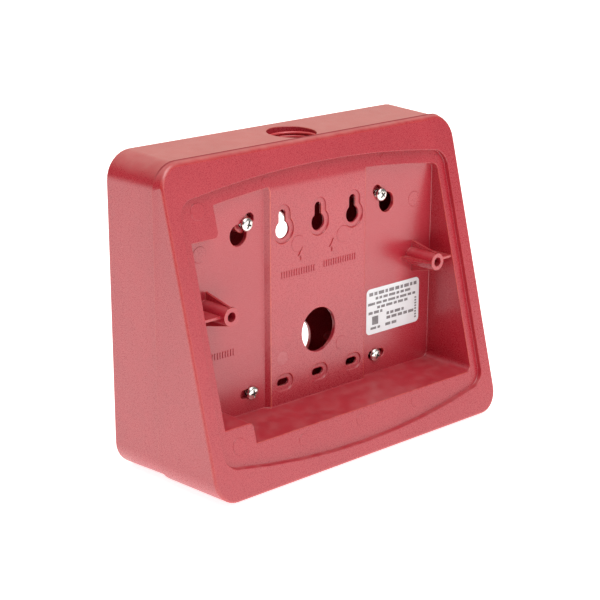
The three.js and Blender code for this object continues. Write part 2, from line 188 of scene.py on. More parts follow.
# ---- Node trees ----------------------------------------------------------------------------------------
class Wiring:
    """Adds nodes to one tree and joins them up."""

    def __init__(self, tree: bpy.types.NodeTree) -> None:
        """Starts on a tree."""
        self.tree = tree

    def feed(self, socket: bpy.types.NodeSocket, value: NodeInput) -> None:
        """Joins a socket to another, or sets its value.

        Args:
            socket: the input socket.
            value: an output socket, or a plain value.
        """
        if isinstance(value, bpy.types.NodeSocket):
            self.tree.links.new(value, socket)
        else:
            socket.default_value = value

    def node(self, kind: str, feeds: dict[object, NodeInput] | None = None,
             **settings: object) -> bpy.types.Node:
        """Adds a node.

        Args:
            kind: the node's type.
            feeds: what goes into its inputs, by name or number.
            settings: the node's own properties.

        Returns:
            The node.
        """
        made = self.tree.nodes.new(kind)
        for name, value in settings.items():
            setattr(made, name, value)
        for key, value in (feeds or {}).items():
            self.feed(made.inputs[key], value)
        return made

    def math(self, operation: str, *values: NodeInput, clamp: bool = False) -> bpy.types.NodeSocket:
        """The result of a Math node on these values."""
        feeds = dict(enumerate(values))
        return self.node("ShaderNodeMath", feeds, operation=operation, use_clamp=clamp).outputs[0]

    def remap(self, value: NodeInput, source: Range, target: Range) -> bpy.types.NodeSocket:
        """A value taken smoothly from one range to another."""
        feeds = {0: value, 1: source[0], 2: source[1], 3: target[0], 4: target[1]}
        return self.node("ShaderNodeMapRange", feeds, interpolation_type="SMOOTHSTEP").outputs[0]

    def mix(self, mask: NodeInput, first: NodeInput, second: NodeInput) -> bpy.types.NodeSocket:
        """Two colours mixed by a mask."""
        feeds = {0: mask, 6: first, 7: second}
        return self.node("ShaderNodeMix", feeds, data_type="RGBA").outputs[2]

    def blend(self, mask: NodeInput, first: NodeInput, second: NodeInput) -> bpy.types.NodeSocket:
        """Two numbers mixed by a mask."""
        return self.node("ShaderNodeMix", {0: mask, 2: first, 3: second}, data_type="FLOAT").outputs[0]

    def noise(self, place: NodeInput, scale: NodeInput, detail: float = 2.0,
              distortion: float = 0.0) -> bpy.types.NodeSocket:
        """A Noise Texture's value."""
        feeds = {"Vector": place, "Scale": scale, "Detail": detail, "Distortion": distortion}
        return self.node("ShaderNodeTexNoise", feeds).outputs[0]


@dataclass(frozen=True)
class Socket:
    """One socket of a node group: its type, and its value when nothing feeds it."""

    kind: str
    value: object = None


FLOAT, VECTOR = "NodeSocketFloat", "NodeSocketVector"
GEOMETRY, MATERIAL = "NodeSocketGeometry", "NodeSocketMaterial"


class Group:
    """A node group being made: its wiring, and the sockets that come in and go out."""

    def __init__(self, name: str, kind: str, inputs: dict[str, Socket], outputs: dict[str, str]) -> None:
        """Makes the tree and its sockets.

        Args:
            name: the group's name.
            kind: the tree's type.
            inputs: the named inputs.
            outputs: the named outputs' types.
        """
        self.tree = bpy.data.node_groups.new(name, kind)
        for label, socket in inputs.items():
            made = self.tree.interface.new_socket(label, in_out="INPUT", socket_type=socket.kind)
            if socket.value is not None:
                made.default_value = socket.value
        for label, socket_kind in outputs.items():
            self.tree.interface.new_socket(label, in_out="OUTPUT", socket_type=socket_kind)
        self.wiring = Wiring(self.tree)
        self.source = self.wiring.node("NodeGroupInput").outputs
        self.sink = self.wiring.node("NodeGroupOutput").inputs


# ---- Surface effects that several finishes share --------------------------------------------------------
class Effects:
    """The shader node groups, each made once."""

    def __init__(self) -> None:
        """Makes every group."""
        self.grain = self._grain()
        self.flow = self._flow()
        self.wear = self._wear()
        self.dust = self._dust()
        self.seam = self._seam_shade_group()

    @staticmethod
    def _grain() -> bpy.types.NodeTree:
        """A satin texture of fine pits: a height and a speckle.

        Returns:
            The group.
        """
        group = Group("satin_grain", "ShaderNodeTree",
                      {"Vector": Socket(VECTOR), "Size": Socket(FLOAT, 0.6 * MM)},
                      {"Height": FLOAT, "Speckle": FLOAT})
        wires, source = group.wiring, group.source
        scale = wires.math("DIVIDE", 1.0, source["Size"])
        cell_share, speckle_finer, speckle_range = 0.5, 1.7, (0.38, 0.64)
        soft = wires.noise(source["Vector"], scale, detail=3.0)
        cells = wires.node("ShaderNodeTexVoronoi", {"Vector": source["Vector"], "Scale": scale}).outputs[0]
        wires.feed(group.sink["Height"], wires.math("ADD", soft, wires.math("MULTIPLY", cells, cell_share)))
        fine = wires.noise(source["Vector"], wires.math("MULTIPLY", scale, speckle_finer), detail=1.0)
        wires.feed(group.sink["Speckle"], wires.remap(fine, speckle_range, FULL))
        return group.tree

    @staticmethod
    def _flow() -> bpy.types.NodeTree:
        """Broad, slow changes, as melt leaves where it flowed.

        Returns:
            The group.
        """
        group = Group("melt_flow", "ShaderNodeTree",
                      {"Vector": Socket(VECTOR), "Size": Socket(FLOAT, 40 * MM)}, {"Mask": FLOAT})
        wires, source = group.wiring, group.source
        scale = wires.math("DIVIDE", 1.0, source["Size"])
        cloud_range = (0.3, 0.7)
        cloud = wires.noise(source["Vector"], scale, distortion=0.8)
        wires.feed(group.sink["Mask"], wires.remap(cloud, cloud_range, FULL))
        return group.tree

    @staticmethod
    def _wear() -> bpy.types.NodeTree:
        """A rubbed, paler band along eased edges, broken up by noise.

        Returns:
            The group.
        """
        group = Group("edge_wear", "ShaderNodeTree",
                      {"Vector": Socket(VECTOR), "Band": Socket(FLOAT, 0.0), "Size": Socket(FLOAT, 3 * MM),
                       "Amount": Socket(FLOAT, 1.0)}, {"Mask": FLOAT})
        wires, source = group.wiring, group.source
        scale = wires.math("DIVIDE", 1.0, source["Size"])
        patch_range, patch_strength = (0.25, 0.6), (0.35, 1.0)
        patches = wires.remap(wires.noise(source["Vector"], scale, detail=4.0), patch_range, patch_strength)
        band = wires.math("MULTIPLY", source["Band"], source["Amount"])
        wires.feed(group.sink["Mask"], wires.math("MULTIPLY", band, patches, clamp=True))
        return group.tree

    @staticmethod
    def _dust() -> bpy.types.NodeTree:
        """Dust that settles on what faces up, with a few single specks anywhere.

        Returns:
            The group.
        """
        group = Group("settled_dust", "ShaderNodeTree",
                      {"Vector": Socket(VECTOR), "Size": Socket(FLOAT, 6 * MM), "Amount": Socket(FLOAT, 0.1),
                       "Specks": Socket(FLOAT, 0.5)}, {"Mask": FLOAT})
        wires, source = group.wiring, group.source
        scale = wires.math("DIVIDE", 1.0, source["Size"])
        upward_range = (0.2, 1.0)
        drift_range, drift_strength = (0.35, 0.75), (0.2, 1.0)
        speck_finer, speck_radius = 2.6, (0.05, 0.09)
        normal = wires.node("ShaderNodeNewGeometry").outputs["Normal"]
        up = wires.node("ShaderNodeSeparateXYZ", {0: normal}).outputs["Z"]
        settled = wires.math("MULTIPLY", wires.remap(up, upward_range, FULL), source["Amount"])
        drift = wires.remap(wires.noise(source["Vector"], scale, detail=4.0), drift_range, drift_strength)
        cells = {"Vector": source["Vector"], "Scale": wires.math("MULTIPLY", scale, speck_finer)}
        speck = wires.node("ShaderNodeTexVoronoi", cells).outputs[0]
        specks = wires.math("MULTIPLY", wires.remap(speck, speck_radius, INVERTED), source["Specks"])
        layer = wires.math("MULTIPLY", settled, drift)
        wires.feed(group.sink["Mask"], wires.math("ADD", layer, specks, clamp=True))
        return group.tree

    @staticmethod
    def _seam_shade_group() -> bpy.types.NodeTree:
        """A painted shade line in front of the seam, on what faces up: a dark strip that stands in for the
        shadow in the groove between the mouldings.

        Returns:
            The group.
        """
        group = Group("painted_seam_shade", "ShaderNodeTree",
                      {"Vector": Socket(VECTOR), "Seam": Socket(FLOAT, SEAM_Y),
                       "Width": Socket(FLOAT, 1.5 * MM)}, {"Mask": FLOAT})
        wires, source = group.wiring, group.source
        fade_range, upward_range = (0.6, 1.0), (0.3, 0.8)
        y = wires.node("ShaderNodeSeparateXYZ", {0: source["Vector"]}).outputs["Y"]
        ahead = wires.math("DIVIDE", wires.math("SUBTRACT", source["Seam"], y), source["Width"])
        past_seam = wires.math("GREATER_THAN", ahead, 0.0)
        line = wires.math("MULTIPLY", wires.remap(ahead, fade_range, INVERTED), past_seam)
        normal = wires.node("ShaderNodeNewGeometry").outputs["Normal"]
        up = wires.node("ShaderNodeSeparateXYZ", {0: normal}).outputs["Z"]
        wires.feed(group.sink["Mask"], wires.math("MULTIPLY", line, wires.remap(up, upward_range, FULL)))
        return group.tree


EFFECTS = Effects()


# ---- Finishes ------------------------------------------------------------------------------------------
class Surface:
    """A material being made, with its shader and the place that its patterns read."""

    def __init__(self, name: str, **constants: object) -> None:
        """Starts a material.

        Args:
            name: the material's name.
            constants: values set on the shader's own sockets, by name with _ for spaces.
        """
        self.material = bpy.data.materials.new(name)
        self.material.use_nodes = True
        self.wires = Wiring(self.material.node_tree)
        self.shader = self.material.node_tree.nodes["Principled BSDF"]
        for label, value in constants.items():
            self.shader.inputs[label.replace("_", " ")].default_value = value
        self.place = self.wires.node("ShaderNodeTexCoord").outputs["Object"]

    def effect(self, tree: bpy.types.NodeTree, **values: object) -> dict[str, bpy.types.NodeSocket]:
        """Places one of the shared effects at this surface's place.

        Args:
            tree: the effect's group.
            values: its inputs, by name.

        Returns:
            Its outputs by name.
        """
        node = self.wires.node("ShaderNodeGroup", None, node_tree=tree)
        for label, value in {"Vector": self.place, **values}.items():
            self.wires.feed(node.inputs[label], value)
        return {socket.name: socket for socket in node.outputs}

    def attribute(self, name: str) -> bpy.types.NodeSocket:
        """A number that the mesh carries."""
        return self.wires.node("ShaderNodeAttribute", attribute_name=name).outputs["Fac"]

    def finish(self, **feeds: object) -> bpy.types.Material:
        """Joins sockets to the shader and gives the material.

        Args:
            feeds: the sockets, by the shader's input name with _ for spaces.

        Returns:
            The material.
        """
        for label, value in feeds.items():
            self.wires.feed(self.shader.inputs[label.replace("_", " ")], value)
        return self.material

    def bump(self, height: object, depth: float, strength: float = 1.0) -> bpy.types.NodeSocket:
        """A normal that follows a height of this depth."""
        feeds = {"Height": height, "Distance": depth, "Strength": strength}
        return self.wires.node("ShaderNodeBump", feeds).outputs["Normal"]


def opaque(colour: Colour) -> tuple[float, float, float, float]:
    """A colour with full alpha."""
    return (*colour, 1.0)


@dataclass(frozen=True)
class MouldedPlastic:
    """Satin moulded plastic: fine grain, slow colour changes, pale eased edges, a little dust and a painted
    shade line in front of the seam.

    Attributes:
        name: the material's name.
        colour: the pigment.
        flow_colour: the pigment where the melt slowed.
        speck_colour: the tops of the grain.
        edge_colour: along eased edges.
        dust_colour: settled dust.
        seam_colour: painted shade in front of the seam, standing in for the groove's shadow.
        roughness: the satin's lowest roughness.
        roughness_spread: how much the speckle adds to it.
        grain_size: width of a pit.
        grain_depth: its depth.
        speck_share: how strongly the tops of the grain colour it.
        wear: how strongly the edges pale.
        dust: how much dust lies on what faces up.
        dust_specks: strength of its single specks.
        dust_dulls: how much rougher dust makes it.
        seam_dulls: how much rougher the surface is under the painted seam shade.
    """

    name: str
    colour: Colour = (0.36, 0.009, 0.025)
    flow_colour: Colour = (0.40, 0.014, 0.031)
    speck_colour: Colour = (0.52, 0.035, 0.045)
    edge_colour: Colour = (0.66, 0.10, 0.055)
    dust_colour: Colour = (0.78, 0.55, 0.52)
    seam_colour: Colour = (0.26, 0.006, 0.014)
    roughness: float = 0.27
    roughness_spread: float = 0.08
    grain_size: float = 0.55 * MM
    grain_depth: float = 0.02 * MM
    speck_share: float = 0.4
    wear: float = 0.55
    dust: float = 0.1
    dust_specks: float = 0.12
    dust_dulls: float = 0.3
    seam_dulls: float = 0.6

    def material(self) -> bpy.types.Material:
        """Makes the material.

        Returns:
            The material.
        """
        surface = Surface(self.name, Specular_IOR_Level=1.0)
        wires = surface.wires
        grain = surface.effect(EFFECTS.grain, Size=self.grain_size)
        flow = surface.effect(EFFECTS.flow)["Mask"]
        wear = surface.effect(EFFECTS.wear, Band=surface.attribute(EDGE_BAND), Amount=self.wear)["Mask"]
        dust = surface.effect(EFFECTS.dust, Amount=self.dust, Specks=self.dust_specks)["Mask"]
        speckle = wires.math("MULTIPLY", grain["Speckle"], self.speck_share)
        colour = wires.mix(flow, opaque(self.colour), opaque(self.flow_colour))
        colour = wires.mix(speckle, colour, opaque(self.speck_colour))
        colour = wires.mix(wear, colour, opaque(self.edge_colour))
        colour = wires.mix(dust, colour, opaque(self.dust_colour))
        # Painted shade: a dark strip in front of the seam that stands in for the shadow in the groove; it also
        # roughens the surface there.
        seam = surface.effect(EFFECTS.seam)["Mask"]
        colour = wires.mix(seam, colour, opaque(self.seam_colour))
        high = self.roughness + self.roughness_spread
        rough = wires.remap(grain["Speckle"], FULL, (self.roughness, high))
        dusty = wires.math("MULTIPLY", dust, self.dust_dulls)
        seam_shade_roughening = wires.math("MULTIPLY", seam, self.seam_dulls)
        rough = wires.math("ADD", rough, wires.math("ADD", dusty, seam_shade_roughening), clamp=True)
        normal = surface.bump(grain["Height"], self.grain_depth)
        return surface.finish(Base_Color=colour, Roughness=rough, Normal=normal)


@dataclass(frozen=True)
class PlatedSteel:
    """Bright nickel plate with fine scratches, darker where dirt sits in the drive.

    Attributes:
        name: the material's name.
        colour: the plate.
        dirt_colour: the bottom of the drive.
        roughness: the plate's lowest roughness.
        roughness_spread: how much the scratches add to it.
        scratch_size: spacing of the scratches.
        scratch_depth: their depth.
        scratch_share: how strongly they darken the plate.
        dirt: how much dirt lies in the drive.
        dirt_size: width of a patch of it.
        dirt_metallic: how metallic the plate still is under it.
    """

    name: str
    colour: Colour = (0.80, 0.78, 0.74)
    dirt_colour: Colour = (0.05, 0.04, 0.04)
    roughness: float = 0.13
    roughness_spread: float = 0.12
    scratch_size: float = 0.35 * MM
    scratch_depth: float = 0.01 * MM
    scratch_share: float = 0.12
    dirt: float = 0.9
    dirt_size: float = 0.8 * MM
    dirt_metallic: float = 0.4

    def material(self) -> bpy.types.Material:
        """Makes the material.

        Returns:
            The material.
        """
        surface = Surface(self.name)
        wires = surface.wires
        grain = surface.effect(EFFECTS.grain, Size=self.scratch_size)
        dirt = surface.effect(EFFECTS.wear, Band=surface.attribute(RECESS), Amount=self.dirt,
                              Size=self.dirt_size)["Mask"]
        scratches = wires.math("MULTIPLY", grain["Speckle"], self.scratch_share)
        colour = wires.mix(scratches, opaque(self.colour), opaque(self.dirt_colour))
        colour = wires.mix(dirt, colour, opaque(self.dirt_colour))
        rough = wires.remap(grain["Speckle"], FULL, (self.roughness, self.roughness + self.roughness_spread))
        metallic = wires.remap(dirt, FULL, (1.0, self.dirt_metallic))
        normal = surface.bump(grain["Height"], self.scratch_depth)
        return surface.finish(Base_Color=colour, Roughness=rough, Metallic=metallic, Normal=normal)


@dataclass(frozen=True)
class PrintedFilm:
    """Off-white label film with a faint fibre and a slightly darker edge.

    Attributes:
        name: the material's name.
        colour: the film.
        edge_colour: its cut edge.
        roughness: the film's lowest roughness.
        roughness_spread: how much the fibre adds to it.
        fibre_size: width of a fibre.
        fibre_depth: its depth.
        cloud_size: width of a patch of shade.
        shade: how strongly fibre and patches shade it.
        edge_band: how strongly its cut edge is shaded.
    """

    name: str
    colour: Colour = (0.80, 0.83, 0.86)
    edge_colour: Colour = (0.62, 0.56, 0.56)
    roughness: float = 0.42
    roughness_spread: float = 0.1
    fibre_size: float = 0.3 * MM
    fibre_depth: float = 0.005 * MM
    cloud_size: float = 9 * MM
    shade: float = 0.12
    edge_band: float = 0.8

    def material(self) -> bpy.types.Material:
        """Makes the material.

        Returns:
            The material.
        """
        surface = Surface(self.name, Specular_IOR_Level=0.4)
        wires = surface.wires
        grain = surface.effect(EFFECTS.grain, Size=self.fibre_size)
        flow = surface.effect(EFFECTS.flow, Size=self.cloud_size)["Mask"]
        edge = surface.attribute(EDGE_BAND)
        band = surface.effect(EFFECTS.wear, Band=edge, Amount=self.edge_band)["Mask"]
        shade = wires.math("MULTIPLY", wires.math("ADD", flow, grain["Speckle"]), self.shade)
        colour = wires.mix(shade, opaque(self.colour), opaque(self.edge_colour))
        colour = wires.mix(band, colour, opaque(self.edge_colour))
        rough = wires.remap(grain["Speckle"], FULL, (self.roughness, self.roughness + self.roughness_spread))
        normal = surface.bump(grain["Height"], self.fibre_depth)
        return surface.finish(Base_Color=colour, Roughness=rough, Normal=normal)


@dataclass(frozen=True)
class Ink:
    """Thermal print: grey, lighter where the ink is thin.

    Attributes:
        name: the material's name.
        colour: full ink.
        thin_colour: where the ink is thin.
        roughness: the ink's roughness.
        patch_size: width of a patch of thin ink.
    """

    name: str
    colour: Colour = (0.17, 0.16, 0.17)
    thin_colour: Colour = (0.24, 0.23, 0.24)
    roughness: float = 0.5
    patch_size: float = 4 * MM

    def material(self) -> bpy.types.Material:
        """Makes the material.

        Returns:
            The material.
        """
        surface = Surface(self.name, Roughness=self.roughness)
        wires = surface.wires
        thin = surface.effect(EFFECTS.flow, Size=self.patch_size)["Mask"]
        return surface.finish(Base_Color=wires.mix(thin, opaque(self.colour), opaque(self.thin_colour)))


@dataclass(frozen=True)
class StudioFloor:
    """A plain, pale, softly lit floor.

    Attributes:
        name: the material's name.
        colour: its colour.
        glow: how brightly it is lit from below.
        cloud_size: width of a patch of shade.
        cloud_shade: share of its colour that a patch keeps.
    """

    name: str
    colour: Colour = (0.9, 0.9, 0.9)
    glow: float = 0.95
    cloud_size: float = 0.4
    cloud_shade: float = 0.98

    def material(self) -> bpy.types.Material:
        """Makes the material.

        Returns:
            The material.
        """
        surface = Surface(self.name, Roughness=0.8, Emission_Strength=self.glow)
        wires = surface.wires
        cloud = surface.effect(EFFECTS.flow, Size=self.cloud_size)["Mask"]
        shaded = tuple(self.cloud_shade * part for part in self.colour)
        colour = wires.mix(cloud, opaque(self.colour), opaque(shaded))
        return surface.finish(Base_Color=colour, Emission_Color=colour)


# ---- Making pieces -------------------------------------------------------------------------------------
def place_piece(name: str, mesh: bpy.types.Mesh) -> bpy.types.Object:
    """Puts a mesh in the scene as an object at the origin.

    Args:
        name: the object's name.
        mesh: its mesh.

    Returns:
        The object.
    """
    made = bpy.data.objects.new(name, mesh)
    bpy.context.scene.collection.objects.link(made)
    return made


def to_mesh(name: str, form: bmesh.types.BMesh, smooth: bool = True) -> bpy.types.Mesh:
    """Turns a form into a mesh and frees it.

    Args:
        name: the mesh's name.
        form: the form.
        smooth: whether its faces are shaded smooth.

    Returns:
        The mesh.
    """
    for face in form.faces:
        face.smooth = smooth
    mesh = bpy.data.meshes.new(name)
    form.to_mesh(mesh)
    form.free()
    return mesh


def settle(piece: bpy.types.Object, slot: Slot, *nodes: str) -> None:
    """Makes a finished piece part of the housing.

    Args:
        piece: the piece.
        slot: the record's slot for its finish; not used.
        nodes: the CAD nodes that it stands for.
    """
    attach(piece, BODY)
    if nodes:
        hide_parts(*nodes)
    LOG.info("%s: %d faces", piece.name, len(piece.data.polygons))


def grow(name: str, points: bpy.types.Mesh, tree: bpy.types.NodeTree,
         values: dict[str, object]) -> bpy.types.Object:
    """Runs a geometry tree on a mesh and keeps the result as a plain mesh.

    Args:
        name: the new piece's name.
        points: the mesh that the tree starts from.
        tree: the geometry tree.
        values: its inputs, by name.

    Returns:
        The new piece, without its modifier.
    """
    piece = place_piece(name, points)
    modifier = piece.modifiers.new("grow", "NODES")
    modifier.node_group = tree
    for item in tree.interface.items_tree:
        if item.item_type == "SOCKET" and item.in_out == "INPUT" and item.name in values:
            modifier[item.identifier] = values[item.name]
    shape = piece.evaluated_get(bpy.context.evaluated_depsgraph_get())
    mesh = bpy.data.meshes.new_from_object(shape)
    piece.modifiers.remove(modifier)
    piece.data = mesh
    mesh.name = name
    bpy.data.meshes.remove(points)
    return piece


def clean_copy(node: str) -> bmesh.types.BMesh:
    """A merged copy of a CAD node, with its flat faces joined up.

    Args:
        node: the CAD node's name.

    Returns:
        The copy, ready to work on.
    """
    form = bmesh.new()
    form.from_mesh(frame["nodes"][node].data)
    bmesh.ops.remove_doubles(form, verts=form.verts, dist=MERGE_REACH)
    bmesh.ops.dissolve_degenerate(form, edges=form.edges, dist=MERGE_REACH)
    flat = math.radians(0.6)
    bmesh.ops.dissolve_limit(form, angle_limit=flat, verts=form.verts, edges=form.edges)
    return form


def bulges(face: bmesh.types.BMFace) -> bool:
    """Whether a face stands out from the faces round it, as on an outer edge.

    Args:
        face: the face.

    Returns:
        True where it bulges, False on a hollow join.
    """
    middle = face.calc_center_median()
    around = [near for edge in face.edges for near in edge.link_faces if near is not face]
    return sum((near.calc_center_median() - middle).dot(face.normal) for near in around) < 0


EdgeTest = Callable[[bmesh.types.BMEdge], bool]


@dataclass(frozen=True)
class Easing:
    """One pass of rounding over the sharp edges that a test picks.

    Attributes:
        radius: width of the rounding.
        steps: faces across it.
        picks: the test that an edge has to pass.
        band: what the new faces carry as their edge band, where they bulge.
        least_angle: edges flatter than this are left alone, in degrees.
    """

    radius: float
    steps: int
    picks: EdgeTest
    band: float = 1.0
    least_angle: float = 28.0

    def apply(self, form: bmesh.types.BMesh) -> None:
        """Rounds the edges of a form.

        Args:
            form: the form to work on.
        """
        layers = form.faces.layers.float
        layer = layers.get(EDGE_BAND) or layers.new(EDGE_BAND)
        least = math.radians(self.least_angle)
        sharp = [edge for edge in form.edges if edge.is_manifold and edge.calc_face_angle() > least]
        chosen = [edge for edge in sharp if self.picks(edge)]
        result = bmesh.ops.bevel(form, geom=chosen, offset=self.radius, segments=self.steps, profile=0.5,
                                 affect="EDGES", clamp_overlap=False)
        form.normal_update()
        for face in result["faces"]:
            face[layer] = self.band if bulges(face) else 0.0
        bmesh.ops.remove_doubles(form, verts=form.verts, dist=WELD_REACH)


def ease(form: bmesh.types.BMesh, passes: list[Easing]) -> None:
    """Runs every pass of rounding in order."""
    for easing in passes:
        easing.apply(form)


def weight_normals(piece: bpy.types.Object) -> None:
    """Keeps broad faces flat-looking beside their rounded edges.

    Args:
        piece: the piece to shade.
    """
    favour_large_faces = 70
    modifier = piece.modifiers.new("flat_faces", "WEIGHTED_NORMAL")
    modifier.mode = "FACE_AREA"
    modifier.weight = favour_large_faces
    modifier.keep_sharp = False


# ---- Geometry trees ------------------------------------------------------------------------------------
class GeometryTrees:
    """The geometry node trees, each made once."""

    def __init__(self) -> None:
        """Makes every tree."""
        self.thread = self._thread()
        self.pads = self._pads()
        self.strokes = self._strokes()
        self.screw = self._screw()

    @staticmethod
    def _finish(group: Group, geometry: object) -> bpy.types.NodeTree:
        """Ends a tree: real geometry with its material.

        Args:
            group: the tree being made.
            geometry: what it has made so far.

        Returns:
            The tree.
        """
        real = group.wiring.node("GeometryNodeRealizeInstances", {0: geometry}).outputs[0]
        feeds = {"Geometry": real, "Material": group.source["Material"]}
        group.wiring.feed(group.sink[0], group.wiring.node("GeometryNodeSetMaterial", feeds).outputs[0])
        return group.tree

    @staticmethod
    def _ridge(wires: Wiring, radius: NodeInput, pitch: NodeInput, turns: NodeInput,
               ridge: NodeInput) -> bpy.types.NodeSocket:
        """A helical ridge about Z, up from the origin.

        Args:
            wires: the tree's wiring.
            radius: the helix's radius.
            pitch: its rise in one turn.
            turns: how many turns it makes.
            ridge: half the ridge's width.

        Returns:
            The ridge's mesh.
        """
        steps_a_turn, ridge_sides = 48, 8
        height = wires.math("MULTIPLY", pitch, turns)
        path = wires.node("GeometryNodeCurveSpiral", {
            "Resolution": steps_a_turn, "Rotations": turns, "Start Radius": radius, "End Radius": radius,
            "Height": height})
        profile = wires.node("GeometryNodeCurvePrimitiveCircle", {"Resolution": ridge_sides, "Radius": ridge})
        swept = wires.node("GeometryNodeCurveToMesh", {
            "Curve": path.outputs[0], "Profile Curve": profile.outputs[0], "Fill Caps": True})
        return wires.node("GeometryNodeSetShadeSmooth", {0: swept.outputs[0]}).outputs[0]

    def _thread(self) -> bpy.types.NodeTree:
        """A helical thread that winds up from a place.

        Returns:
            The tree.
        """
        group = Group("thread", "GeometryNodeTree", {
            "Geometry": Socket(GEOMETRY), "Place": Socket(VECTOR), "Radius": Socket(FLOAT, 12 * MM),
            "Pitch": Socket(FLOAT, 1.8 * MM), "Turns": Socket(FLOAT, 8.0), "Ridge": Socket(FLOAT, 0.6 * MM),
            "Material": Socket(MATERIAL)}, {"Geometry": GEOMETRY})
        wires, source = group.wiring, group.source
        ridge = self._ridge(wires, source["Radius"], source["Pitch"], source["Turns"], source["Ridge"])
        moved = wires.node("GeometryNodeTransform", {"Geometry": ridge, "Translation": source["Place"]})
        return self._finish(group, moved.outputs[0])

    @staticmethod
    def _named(wires: Wiring, name: str, kind: str) -> bpy.types.NodeSocket:
        """A named attribute of the points."""
        node = wires.node("GeometryNodeInputNamedAttribute", {"Name": name}, data_type=kind)
        return next(socket for socket in node.outputs if socket.enabled)

    def _pads(self) -> bpy.types.NodeTree:
        """A low round pad with a fine lip on each point, as ejector pins leave.

        Returns:
            The tree.
        """
        group = Group("ejector_pads", "GeometryNodeTree", {
            "Geometry": Socket(GEOMETRY), "Height": Socket(FLOAT, 0.1 * MM), "Lip": Socket(FLOAT, 0.03),
            "Material": Socket(MATERIAL)}, {"Geometry": GEOMETRY})
        wires, source = group.wiring, group.source
        sides, top_share, lip_sides = 40, 0.93, 6
        pad = wires.node("GeometryNodeMeshCone", {
            "Vertices": sides, "Radius Top": top_share, "Radius Bottom": 1.0, "Depth": source["Height"]})
        circle = wires.node("GeometryNodeCurvePrimitiveCircle", {"Resolution": sides, "Radius": top_share})
        section = wires.node("GeometryNodeCurvePrimitiveCircle", {
            "Resolution": lip_sides, "Radius": source["Lip"]})
        lip = wires.node("GeometryNodeCurveToMesh", {
            "Curve": circle.outputs[0], "Profile Curve": section.outputs[0]}).outputs[0]
        up = wires.node("ShaderNodeCombineXYZ", {"Z": wires.math("DIVIDE", source["Height"], 2.0)}).outputs[0]
        squeeze = wires.math("DIVIDE", source["Height"], wires.math("MULTIPLY", source["Lip"], 2.0))
        low = wires.node("ShaderNodeCombineXYZ", {"X": 1.0, "Y": 1.0, "Z": squeeze}).outputs[0]
        lifted = wires.node("GeometryNodeTransform", {
            "Geometry": lip, "Translation": up, "Scale": low}).outputs[0]
        mark = wires.node("GeometryNodeJoinGeometry", {0: pad.outputs[0]})
        wires.feed(mark.inputs[0], lifted)
        size = self._named(wires, "size", "FLOAT")
        scale = wires.node("ShaderNodeCombineXYZ", {"X": size, "Y": size, "Z": 1.0}).outputs[0]
        facing = self._named(wires, "facing", "FLOAT_VECTOR")
        turn = wires.node("FunctionNodeAlignRotationToVector", {"Vector": facing}, axis="Z").outputs[0]
        marks = wires.node("GeometryNodeInstanceOnPoints", {
            "Points": source["Geometry"], "Instance": mark.outputs[0], "Rotation": turn, "Scale": scale})
        return self._finish(group, marks.outputs[0])

    def _strokes(self) -> bpy.types.NodeTree:
        """A flat block on each point, of the size that the point carries.

        Returns:
            The tree.
        """
        group = Group("strokes", "GeometryNodeTree", {
            "Geometry": Socket(GEOMETRY), "Taper": Socket(FLOAT, 0.9), "Material": Socket(MATERIAL)},
            {"Geometry": GEOMETRY})
        wires, source = group.wiring, group.source
        half_diagonal = math.sqrt(0.5)
        top = wires.math("MULTIPLY", source["Taper"], half_diagonal)
        block = wires.node("GeometryNodeMeshCone", {
            "Vertices": 4, "Radius Top": top, "Radius Bottom": half_diagonal, "Depth": 1.0}).outputs[0]
        square = wires.node("GeometryNodeTransform", {
            "Geometry": block, "Rotation": (math.pi / 2, 0.0, 0.0)}).outputs[0]
        straight = wires.node("GeometryNodeTransform", {
            "Geometry": square, "Rotation": (0.0, math.pi / 4, 0.0)}).outputs[0]
        size = self._named(wires, "size", "FLOAT_VECTOR")
        blocks = wires.node("GeometryNodeInstanceOnPoints", {
            "Points": source["Geometry"], "Instance": straight, "Scale": size})
        return self._finish(group, blocks.outputs[0])

    def _screw(self) -> bpy.types.NodeTree:
        """A screw: its blank with a thread about the shank, turned and put in place along Y.

        Returns:
            The tree.
        """
        group = Group("screw", "GeometryNodeTree", {
            "Geometry": Socket(GEOMETRY), "Place": Socket(VECTOR), "Spin": Socket(FLOAT, 0.0),
            "Radius": Socket(FLOAT, 1.5 * MM), "Pitch": Socket(FLOAT, 1.0 * MM), "Turns": Socket(FLOAT, 8.0),
            "Ridge": Socket(FLOAT, 0.3 * MM), "Start": Socket(FLOAT, 1.0 * MM), "Material": Socket(MATERIAL)},
            {"Geometry": GEOMETRY})
        wires, source = group.wiring, group.source
        ridge = self._ridge(wires, source["Radius"], source["Pitch"], source["Turns"], source["Ridge"])
        start = wires.node("ShaderNodeCombineXYZ", {"Z": source["Start"]}).outputs[0]
        thread = wires.node("GeometryNodeTransform", {"Geometry": ridge, "Translation": start}).outputs[0]
        whole = wires.node("GeometryNodeJoinGeometry", {0: source["Geometry"]})
        wires.feed(whole.inputs[0], thread)
        spin = wires.node("ShaderNodeCombineXYZ", {"Z": source["Spin"]}).outputs[0]
        spun = wires.node("GeometryNodeTransform", {"Geometry": whole.outputs[0], "Rotation": spin})
        laid = wires.node("GeometryNodeTransform", {
            "Geometry": spun.outputs[0], "Rotation": (-math.pi / 2, 0.0, 0.0), "Translation": source["Place"]})
        return self._finish(group, laid.outputs[0])


TREES = GeometryTrees()


def point_mesh(places: list[Vector], **attributes: list[float] | list[Vector]) -> bpy.types.Mesh:
    """A mesh of loose points that carry numbers or vectors.

    Args:
        places: where the points are.
        attributes: what each point carries, by name.

    Returns:
        The mesh.
    """
    mesh = bpy.data.meshes.new("points")
    mesh.from_pydata([tuple(place) for place in places], [], [])
    for name, values in attributes.items():
        if isinstance(values[0], float):
            mesh.attributes.new(name, "FLOAT", "POINT").data.foreach_set("value", values)
        else:
            flat = [part for value in values for part in value]
            mesh.attributes.new(name, "FLOAT_VECTOR", "POINT").data.foreach_set("vector", flat)
    return mesh


